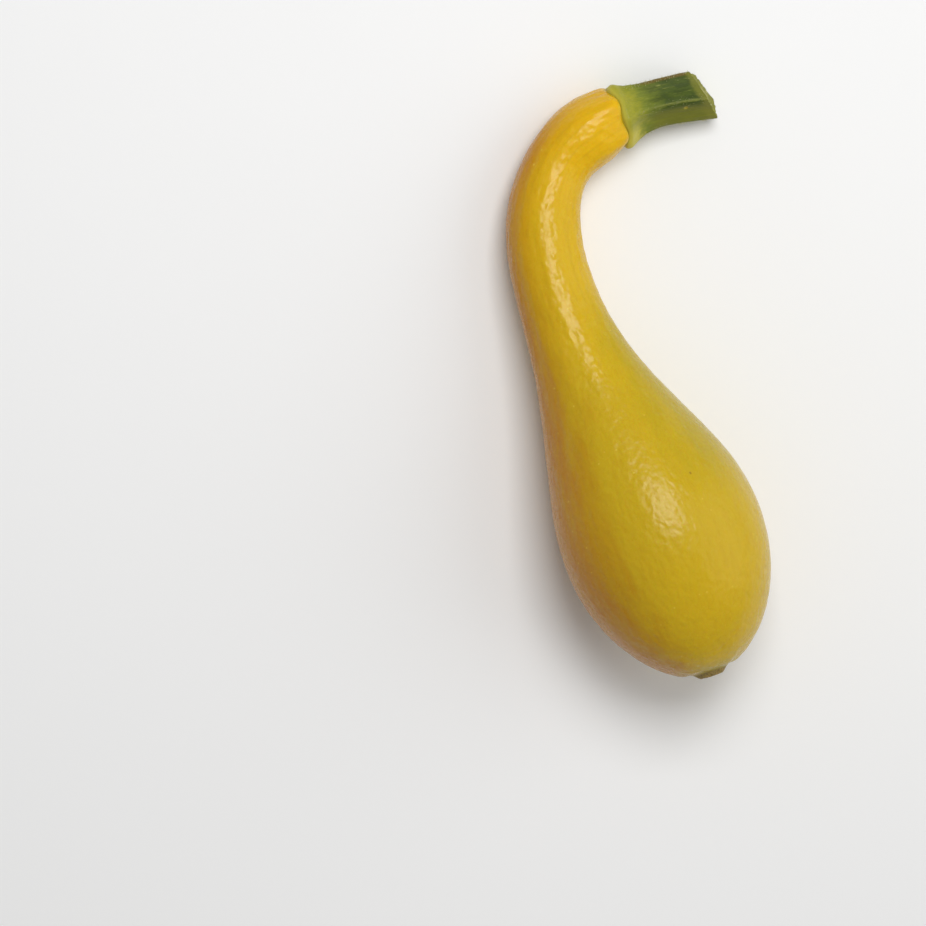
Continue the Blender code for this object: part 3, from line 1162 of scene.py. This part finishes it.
# The stem's inner side looks into the crook, and a little to the back
INNER_BY_OUT = -1.0
INNER_BY_UP = -0.2
FIBRES = (1.5, 3, 0.65, 0.06)
STALK_CLOUDS = (0.14, 3, 0.6)
CLOUD_SWING_MM = 8.0
RIND_DULL = (3.0, 12.0, 0.36, 0.52)
FIBRES_DULL = 0.08
RIND_GRAIN = (3.5, 3, 0.5, 0.12)
RIND_BUMP = 0.12 * MM


def make_green_stem():
    """Green rind with its fibres, from the foot to the edge of the cut."""
    material, shader = start_material("green_stem", RIND_FINISH)
    place = stored_on_skin("straight_mm", shader)["Vector"]
    up, out, height = split(place)
    inner = plus(times(out, INNER_BY_OUT), times(up, INNER_BY_UP))
    fibres = noise_of(place, *FIBRES)
    clouds = swing(noise_of(place, *STALK_CLOUDS), CLOUD_SWING_MM)
    base = stalk_colour(place, height, inner, fibres, clouds)
    base = add_worn_edges(place, height, out, fibres, clouds, base)
    feed(shader.inputs["Base Color"], base)
    dull = between(height, *RIND_DULL)
    feed(shader.inputs["Roughness"], plus(dull, times(fibres, FIBRES_DULL)))
    feed(shader.inputs["Normal"], bumps(noise_of(place, *RIND_GRAIN), RIND_BUMP))
    return material


stem.data.materials.append(make_green_stem())
print("green stem has", len(stem.data.materials[0].node_tree.nodes), "nodes")

# %% The fresh cut
PITH_FINISH = {
    "Roughness": 0.7,
    "Specular IOR Level": 0.2,
    "Subsurface Weight": 0.1,
    "Subsurface Radius": (0.8, 0.9, 0.3),
    "Subsurface Scale": 2 * MM,
}
CUT_PALE = colour(152, 151, 62)
CUT_GREEN = colour(116, 118, 40)
PITH_PALE = colour(196, 190, 122)
STRAND = colour(206, 200, 140)
SPONGE = (1.1, 4, 0.7)
SPONGE_MM = 1.5
STRANDS = (0.62, 0.62, 0.8)
# By millimetres from the middle of the cut
PITH_ENDS = (2.2, 5.2, 0.75, 0.0)
STRANDS_START = (3.6, 5.2)
STRANDS_END = (7.2, 8.4, 1.0, 0.0)
PITH_BUMP = 0.3 * MM


def make_fresh_cut():
    """Spongy pith, the ring of strands and the green edge."""
    material, shader = start_material("fresh_cut", PITH_FINISH)
    place = stored_on_skin("straight_mm", shader)["Vector"]
    sponge = noise_of(place, *SPONGE)
    base = mix_colours(between(sponge, *MOTTLED), CUT_GREEN, CUT_PALE)
    flat = scaled(place, ACROSS_ONLY)
    from_middle = plus(distance_to(flat, MIDDLE), times(sponge, SPONGE_MM))
    base = mix_colours(between(from_middle, *PITH_ENDS), base, PITH_PALE)
    strands = times(spots_of(flat, *STRANDS), between(from_middle, *STRANDS_START))
    strands = times(strands, between(from_middle, *STRANDS_END))
    feed(shader.inputs["Base Color"], mix_colours(strands, base, STRAND))
    feed(shader.inputs["Normal"], bumps(sponge, PITH_BUMP))
    return material


stem.data.materials.append(make_fresh_cut())
first_cut = (stem_net[0].shape[0] - CUT_RINGS) * STEM_SECTORS
for face in stem.data.polygons:
    face.material_index = int(min(face.vertices) >= first_cut)
print("cut faces:", sum(face.material_index for face in stem.data.polygons))

# %% [markdown]
# ## Bristles
#
# The ridges of a squash stem carry short stiff hairs. Hair curves would be quick, but they are lost
# when the model leaves Blender, so each bristle is a thin three-sided spike with its root sunk into the
# rind. They are scattered with a fixed seed, mostly along the crests, and lean towards the cut. Those
# that the table would press flat are left out.

# %% Where the bristles grow
BRISTLES = 520
BRISTLE_SEED = 7
BRISTLE_SPREAD = 0.10
BRISTLES_FROM = 5.0 * MM
BRISTLES_TO = STEM_LENGTH - 1.5 * MM
STEP_OUT = 1.0 * MM
STEP_AHEAD = 0.5 * MM


def bristle_roots(draw):
    """Where each bristle grows, which way is out of the rind there, and which way is ahead."""
    crest = RIDGE_TURN + 2 * math.pi / RIDGES * draw.integers(0, RIDGES, BRISTLES)
    turn = crest + draw.normal(0, BRISTLE_SPREAD, BRISTLES)
    height = draw.uniform(BRISTLES_FROM, BRISTLES_TO, BRISTLES)
    heights, radii = stem_rings()
    shaft = slice(FOOT_RINGS - 1, FOOT_RINGS - 1 + SHAFT_RINGS)
    radius = np.interp(height, heights[shaft], radii[shaft])
    root = lay_down(stem_point(height, radius, turn))
    out = lay_down(stem_point(height, radius + STEP_OUT, turn)) - root
    ahead = lay_down(stem_point(height + STEP_AHEAD, radius, turn)) - root
    return root, unit(out), unit(ahead)


print("bristles grow from", round(BRISTLES_FROM / MM), "to", round(BRISTLES_TO / MM), "mm up the stem")

# %% Bristles as spikes
BRISTLE_LENGTH = (0.40 * MM, 1.05 * MM)
BRISTLE_RADIUS = 0.09 * MM
BRISTLE_ROOT = 0.12 * MM
BRISTLE_LEAN = (0.1, 0.9)
BRISTLE_STRAY = 0.15
BRISTLES_CLEAR = 0.2 * MM
SPIKE_SIDES = 3


def make_bristles():
    """All bristles as one mesh of closed spikes."""
    draw = np.random.default_rng(BRISTLE_SEED)
    root, out, ahead = bristle_roots(draw)
    length = draw.uniform(*BRISTLE_LENGTH, BRISTLES)
    points, faces = [], []
    for i in range(BRISTLES):
        lean = ahead[i] * draw.uniform(*BRISTLE_LEAN)
        tilt = unit(out[i] + lean + draw.normal(0, BRISTLE_STRAY, 3))
        tip = root[i] + tilt * length[i]
        if min(tip[2], root[i][2]) < BRISTLES_CLEAR:
            continue
        side = unit(np.cross(tilt, ahead[i]))
        first = len(points)
        for k in range(SPIKE_SIDES):
            angle = 2 * math.pi * k / SPIKE_SIDES
            rim = side * math.cos(angle) + np.cross(tilt, side) * math.sin(angle)
            points.append(root[i] - out[i] * BRISTLE_ROOT + rim * BRISTLE_RADIUS)
        points.append(tip)
        foot = list(range(first, first + SPIKE_SIDES))
        faces += [(a, b, first + SPIKE_SIDES) for a, b in zip(foot, foot[1:] + foot[:1])]
        faces.append(foot[::-1])
    mesh = bpy.data.meshes.new("stem_bristles")
    mesh.from_pydata(points, [], faces)
    return add_object("stem_bristles", mesh)


bristles = make_bristles()
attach(bristles, BODY)
print("bristles:", len(bristles.data.vertices) // (SPIKE_SIDES + 1))

# %% The bristles' finish
BRISTLE_FINISH = {"Roughness": 0.45}
BRISTLE_OLD = colour(150, 152, 92)
BRISTLE_PALE = colour(206, 204, 160)
BRISTLE_PATCHES_PER_M = 400


def make_bristle_finish():
    """Pale bristles, some older and greener than others."""
    material, shader = start_material("bristle", BRISTLE_FINISH)
    coordinates = new_node("ShaderNodeTexCoord", shader).outputs["Object"]
    patches = noise_of(coordinates, BRISTLE_PATCHES_PER_M)
    feed(shader.inputs["Base Color"], mix_colours(patches, BRISTLE_OLD, BRISTLE_PALE))
    return material


bristles.data.materials.append(make_bristle_finish())
print("bristle patches are", round(1 / BRISTLE_PATCHES_PER_M / MM, 1), "mm wide")

# %% [markdown]
# ## The table
#
# The squash lies on a plain pale table, a wide disc that reaches past every view. Its finish is dull,
# so that no sharp reflection draws the eye away, and varies a little, as paint does.

# %% The table
TABLE_RADIUS = 30.0
TABLE_EDGES = 64
TABLE_FINISH = {"Base Color": (0.93, 0.93, 0.925, 1)}
TABLE_PATCHES_PER_M = 30
TABLE_DULL = (0.3, 0.7, 0.7, 0.8)


def make_table():
    """A flat disc with its material."""
    shape = bmesh.new()
    bmesh.ops.create_circle(shape, cap_ends=True, segments=TABLE_EDGES, radius=TABLE_RADIUS)
    mesh = bpy.data.meshes.new("table")
    shape.to_mesh(mesh)
    shape.free()
    material, shader = start_material("pale_table", TABLE_FINISH)
    coordinates = new_node("ShaderNodeTexCoord", shader).outputs["Object"]
    patches = noise_of(coordinates, TABLE_PATCHES_PER_M)
    feed(shader.inputs["Roughness"], between(patches, *TABLE_DULL))
    mesh.materials.append(material)
    return add_object("table", mesh)


make_table()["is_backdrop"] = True
print("table is", 2 * TABLE_RADIUS, "m across")

# %% [markdown]
# ## The light
#
# A soft light above the squash draws the long broken highlight down the neck and the spot on the bulb.
# A broad one from the right keeps that side bright while the left falls off, and a pale sky fills the
# shadows. A photographed sky could light it too, but its pattern would show in the wax. We measure the
# lights' places from the plane that the squash grew in, because that is the plane we look at.

# %% The light
KEY_PLACE = (0.16, 0.42, 1.10)
KEY_SIZE = (0.56, 0.52)
KEY_POWER = 8.4
FILL_PLACE = (1.5, 0.2, 0.75)
FILL_SIZE = (1.7, 1.7)
FILL_POWER = 8.6
LIT_POINT = (-0.01, 0.05, 0)


def make_softbox(name, place, size, power):
    """A rectangle of light at a place in the growing plane's frame, turned to the squash."""
    light = bpy.data.lights.new(name, "AREA")
    light.shape = "RECTANGLE"
    light.size, light.size_y = size
    light.energy = power
    holder = add_object(name, light)
    holder.location = LYING @ Vector(place)
    aim = LYING @ Vector(LIT_POINT) - holder.location
    holder.rotation_euler = aim.to_track_quat("-Z", "Y").to_euler()


make_softbox("key_softbox", KEY_PLACE, KEY_SIZE, KEY_POWER)
make_softbox("fill_softbox", FILL_PLACE, FILL_SIZE, FILL_POWER)
print("lights give", KEY_POWER + FILL_POWER, "W together")

# %% The sky
SKY_WHITE = (1, 1, 1, 1)
SKY_LIGHT = 0.31
SKY_SEEN = 0.94


def make_sky():
    """An even white sky that the camera sees brighter than it lights."""
    world = bpy.data.worlds.new("studio")
    world.use_nodes = True
    backdrop = world.node_tree.nodes["Background"]
    backdrop.inputs["Color"].default_value = SKY_WHITE
    seen = new_node("ShaderNodeLightPath", backdrop).outputs["Is Camera Ray"]
    feed(backdrop.inputs["Strength"], between(seen, 0, 1, SKY_LIGHT, SKY_SEEN))
    return world


bpy.context.scene.world = make_sky()
bpy.context.scene.view_settings.view_transform = "Standard"
print("sky lights with", SKY_LIGHT, "of full white")

# %% [markdown]
# ## The camera
#
# The camera looks down on the squash, square to the plane that it grew in. A long lens from far away
# keeps the stem's end and the bulb at the same scale. The lens sets how far away it has to be for the
# view to be as wide as we want.

# %% The camera
VIEW_WIDTH = 314.8 * MM
VIEW_CENTRE = (-68.0 * MM, 24.1 * MM)
LENS = 300.0
SENSOR = 36.0

camera_data = bpy.data.cameras.new("camera")
camera_data.lens = LENS
camera_data.sensor_width = SENSOR
camera = add_object("camera", camera_data)
away = VIEW_WIDTH / 2 / (SENSOR / 2 / LENS)
camera.matrix_world = LYING @ Matrix.Translation((*VIEW_CENTRE, away))
bpy.context.scene.camera = camera
print("camera is", round(away, 3), "m from the growing plane")

# %% [markdown]
# ## Sizes
#
# Last, we print the box of the dressed squash, to set beside the plain model's box from the start.

# %% Sizes
dressed_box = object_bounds()
print_box("dressed squash", dressed_box)
